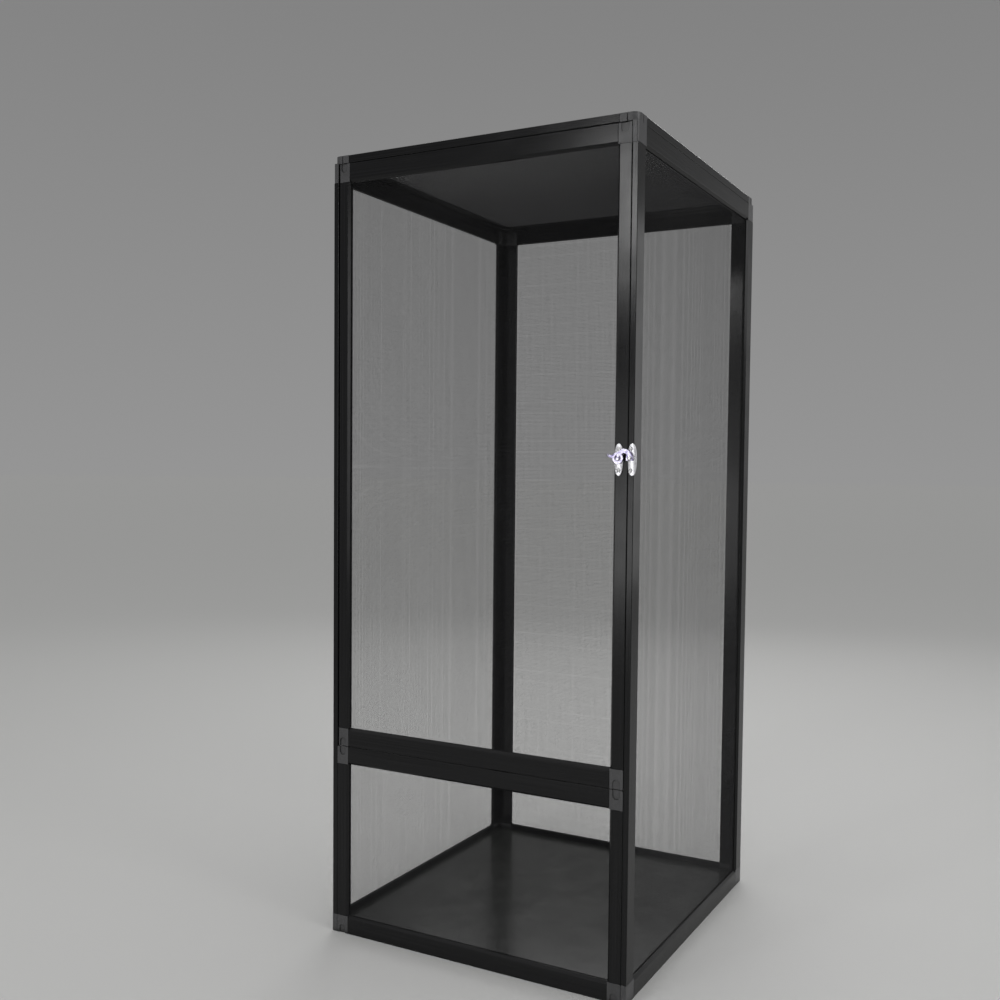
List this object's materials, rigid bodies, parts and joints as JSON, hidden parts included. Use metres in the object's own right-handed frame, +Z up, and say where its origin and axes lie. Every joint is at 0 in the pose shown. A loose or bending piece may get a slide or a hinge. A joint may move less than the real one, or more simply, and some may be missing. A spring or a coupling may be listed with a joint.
{
  "type": "reptile screen cage",
  "caption": "Tall square cage of black aluminium frames filled with fine black mesh, with a hinged front door over a fixed low panel, a hook latch and a dark floor board.",
  "frame": {"origin": "centre of the frame's footprint, on the surface the cage stands on", "axes": "+Z up; -Y out through the door; +X towards the latch side, with the door hinged at -X"},
  "size_m": [0.4238, 0.4262, 1],
  "materials": {
    "profile": "satin",
    "corner": "satin",
    "screen": "matte",
    "board": "gloss",
    "latch": "polished",
    "steel": "satin"
  },
  "bodies": {
    "frame": {"left_front_stile": "profile", "left_back_stile": "profile", "left_top_rail": "profile", "left_bottom_rail": "profile", "left_screen": "screen", "right_front_stile": "profile", "right_back_stile": "profile", "right_top_rail": "profile", "right_bottom_rail": "profile", "right_screen": "screen", "back_left_stile": "profile", "back_right_stile": "profile", "back_top_rail": "profile", "back_bottom_rail": "profile", "back_screen": "screen", "back_top_left_corner": "corner", "back_top_right_corner": "corner", "back_bottom_left_corner": "corner", "back_bottom_right_corner": "corner", "lid_front_rail": "profile", "lid_back_rail": "profile", "lid_left_rail": "profile", "lid_right_rail": "profile", "lid_screen": "screen", "lower_left_stile": "profile", "lower_right_stile": "profile", "lower_top_rail": "profile", "lower_bottom_rail": "profile", "lower_screen": "screen", "lower_top_left_corner": "corner", "lower_top_right_corner": "corner", "lower_bottom_left_corner": "corner", "lower_bottom_right_corner": "corner", "cage_bottom_front_left_corner": "corner", "cage_bottom_front_right_corner": "corner", "cage_bottom_back_left_corner": "corner", "cage_bottom_back_right_corner": "corner", "cage_top_front_left_corner": "corner", "cage_top_front_right_corner": "corner", "cage_top_back_left_corner": "corner", "cage_top_back_right_corner": "corner", "floor_board": "board", "upper_hinge_pin": "steel", "lower_hinge_pin": "steel", "latch_keeper": "latch", "keeper_upper_screw": "steel", "keeper_lower_screw": "steel"},
    "door": {"door_hinge_stile": "profile", "door_latch_stile": "profile", "door_top_rail": "profile", "door_bottom_rail": "profile", "door_screen": "screen", "door_top_left_corner": "corner", "door_top_right_corner": "corner", "door_bottom_left_corner": "corner", "door_bottom_right_corner": "corner", "latch_plate": "latch", "latch_upper_screw": "steel", "latch_lower_screw": "steel"},
    "latch_hook": {"latch_hook": "latch"}
  },
  "joints": [
    {"name": "door_hinge", "type": "hinge", "parent": "frame", "child": "door", "pos_m": [-0.1989, -0.2065, 0.6], "axis": [0, 0, -1], "range_deg": [0, 95]},
    {"name": "hook_pivot", "type": "hinge", "parent": "door", "child": "latch_hook", "pos_m": [0.1922, -0.213, 0.621], "axis": [0, -1, 0], "range_deg": [0, 75]}
  ]
}
